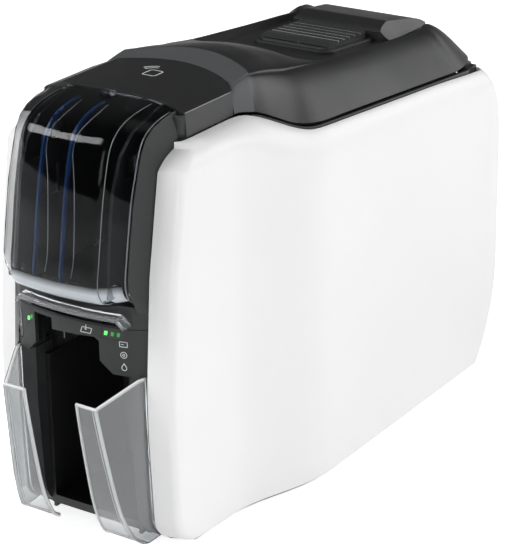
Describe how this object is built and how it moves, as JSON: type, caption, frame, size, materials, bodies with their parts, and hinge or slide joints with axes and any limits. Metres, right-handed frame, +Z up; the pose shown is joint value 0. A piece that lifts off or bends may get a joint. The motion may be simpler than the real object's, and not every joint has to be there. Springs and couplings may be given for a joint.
{
  "type": "card printer",
  "caption": "Desktop card printer: narrow front with clear card hopper door above winged output bay, body flaring under a hinged cover with release button.",
  "frame": {"origin": "middle of the body between the side covers and between front and rear edges, on the table plane under the feet", "axes": "+X to the right seen from the front, +Y from the front to the rear, +Z up"},
  "size_m": [0.155, 0.356, 0.2446],
  "materials": {
    "white_panel": "satin moulded",
    "black_plastic": "fine texture",
    "grey_plastic": "fine texture",
    "clear_plastic": "clear, polished",
    "steel": "brushed",
    "roller_rubber": "matt",
    "gear_plastic": "moulded",
    "brass": "turned",
    "aluminium": "extruded",
    "circuit_board": "lacquered",
    "light_green": "clear",
    "ribbon_film": "thin film"
  },
  "bodies": {
    "root": {"base_tray": "black_plastic", "rubber_feet": "roller_rubber", "left_side_cover": "white_panel", "right_side_cover": "white_panel", "upper_fascia": "black_plastic", "lower_fascia": "black_plastic", "hopper_cover": "black_plastic", "upper_deck": "black_plastic", "rear_panel": "black_plastic", "cover_hinge_pins": "steel", "card_hopper": "black_plastic", "feed_lip": "clear_plastic", "left_output_wing": "clear_plastic", "right_output_wing": "clear_plastic", "output_bay": "black_plastic", "light_windows": "light_green", "indicator_board": "circuit_board", "left_frame_plate": "steel", "right_frame_plate": "steel", "shaft_bushings": "brass", "idle_pins": "steel", "gear_studs": "steel", "drive_motor": "steel", "spool_hubs": "grey_plastic", "ribbon_web": "ribbon_film", "mainboard": "circuit_board", "power_supply": "steel", "power_inlet": "black_plastic", "fan_frame": "black_plastic", "cover_screws": "steel"},
    "cover": {"top_cover": "black_plastic", "latch_pin": "steel", "button_spring": "steel", "printhead": "aluminium", "head_bracket": "steel"},
    "release": {"release_button": "black_plastic"},
    "latch": {"latch_yoke": "grey_plastic"},
    "door": {"hopper_door": "clear_plastic"},
    "power_key": {"power_button": "grey_plastic"},
    "bus": {"bus_gear": "gear_plastic"},
    "middle": {"middle_gear": "gear_plastic"},
    "transfer": {"transfer_gear": "gear_plastic"},
    "pinion": {"motor_pinion": "brass"},
    "pick_drive": {"pick_shaft": "gear_plastic", "pick_roller": "roller_rubber"},
    "feed_drive": {"feed_shaft": "gear_plastic", "feed_roller": "roller_rubber"},
    "platen_drive": {"platen_shaft": "steel", "platen_roller": "roller_rubber", "platen_gear": "gear_plastic"},
    "transport_drive": {"transport_shaft": "gear_plastic", "transport_roller": "roller_rubber"},
    "exit_drive": {"exit_shaft": "gear_plastic", "exit_roller": "roller_rubber"},
    "feed_pinch": {"feed_pinch_roller": "grey_plastic"},
    "transport_pinch": {"transport_pinch_roller": "grey_plastic"},
    "cleaner": {"cleaning_roller": "roller_rubber"},
    "supply": {"supply_spool": "black_plastic"},
    "takeup": {"takeup_spool": "black_plastic"},
    "fan": {"fan_rotor": "black_plastic"}
  },
  "joints": [
    {"name": "cover_hinge", "type": "hinge", "parent": "root", "child": "cover", "pos_m": [0, 0.16, 0.193], "axis": [-1, 0, 0], "range_deg": [0, 60]},
    {"name": "door_hinge", "type": "hinge", "parent": "root", "child": "door", "pos_m": [0, -0.158, 0.154], "axis": [1, 0, 0], "range_deg": [0, 70]},
    {"name": "release_press", "type": "slide", "parent": "cover", "child": "release", "axis": [0, 0, -1], "range_m": [0, 0.003], "stiffness_N_per_m": 600, "deforming": ["button_spring"]},
    {"name": "latch_pivot", "type": "hinge", "parent": "cover", "child": "latch", "pos_m": [0, 0.07199, 0.21404], "axis": [-1, 0, 0], "range_deg": [0, 12]},
    {"name": "power_press", "type": "slide", "parent": "root", "child": "power_key", "axis": [0, 1, 0], "range_m": [0, 0.0012], "stiffness_N_per_m": 500},
    {"name": "bus_spin", "type": "hinge", "parent": "root", "child": "bus", "pos_m": [0, -0.0055, 0.1336], "axis": [1, 0, 0], "continuous": true},
    {"name": "middle_spin", "type": "hinge", "parent": "root", "child": "middle", "pos_m": [0, -0.07447, 0.1323], "axis": [1, 0, 0], "continuous": true},
    {"name": "transfer_spin", "type": "hinge", "parent": "root", "child": "transfer", "pos_m": [0, 0.0665, 0.1336], "axis": [1, 0, 0], "continuous": true},
    {"name": "pinion_spin", "type": "hinge", "parent": "root", "child": "pinion", "pos_m": [0, -0.0055, 0.0931], "axis": [1, 0, 0], "continuous": true},
    {"name": "pick_spin", "type": "hinge", "parent": "root", "child": "pick_drive", "pos_m": [0, -0.095, 0.1415], "axis": [1, 0, 0], "continuous": true},
    {"name": "feed_spin", "type": "hinge", "parent": "root", "child": "feed_drive", "pos_m": [0, -0.049, 0.1336], "axis": [1, 0, 0], "continuous": true},
    {"name": "platen_spin", "type": "hinge", "parent": "root", "child": "platen_drive", "pos_m": [0, 0.038, 0.1336], "axis": [1, 0, 0], "continuous": true},
    {"name": "transport_spin", "type": "hinge", "parent": "root", "child": "transport_drive", "pos_m": [0, 0.095, 0.1336], "axis": [1, 0, 0], "continuous": true},
    {"name": "exit_spin", "type": "hinge", "parent": "root", "child": "exit_drive", "pos_m": [0, -0.08267, 0.10975], "axis": [1, 0, 0], "continuous": true},
    {"name": "feed_pinch_spin", "type": "hinge", "parent": "root", "child": "feed_pinch", "pos_m": [0, -0.049, 0.1474], "axis": [1, 0, 0], "continuous": true},
    {"name": "transport_pinch_spin", "type": "hinge", "parent": "root", "child": "transport_pinch", "pos_m": [0, 0.095, 0.1474], "axis": [1, 0, 0], "continuous": true},
    {"name": "cleaner_spin", "type": "hinge", "parent": "root", "child": "cleaner", "pos_m": [0, -0.028, 0.149], "axis": [1, 0, 0], "continuous": true},
    {"name": "supply_spin", "type": "hinge", "parent": "root", "child": "supply", "pos_m": [0, 0.088, 0.173], "axis": [1, 0, 0], "continuous": true},
    {"name": "takeup_spin", "type": "hinge", "parent": "root", "child": "takeup", "pos_m": [0, -0.008, 0.178], "axis": [1, 0, 0], "continuous": true},
    {"name": "fan_spin", "type": "hinge", "parent": "root", "child": "fan", "pos_m": [0, 0.1615, 0.11], "axis": [0, 1, 0], "continuous": true}
  ],
  "couplings": [
    {"joint": "latch_pivot", "follows": "release_press", "rad_per_m": 66.667},
    {"joint": "feed_spin", "follows": "bus_spin", "ratio": -2.625},
    {"joint": "platen_spin", "follows": "bus_spin", "ratio": -2.625},
    {"joint": "pinion_spin", "follows": "bus_spin", "ratio": -3.5},
    {"joint": "transfer_spin", "follows": "bus_spin", "ratio": 1.9091},
    {"joint": "transport_spin", "follows": "bus_spin", "ratio": -2.625},
    {"joint": "middle_spin", "follows": "bus_spin", "ratio": 2.3333},
    {"joint": "pick_spin", "follows": "bus_spin", "ratio": -3.5},
    {"joint": "exit_spin", "follows": "bus_spin", "ratio": -3}
  ]
}
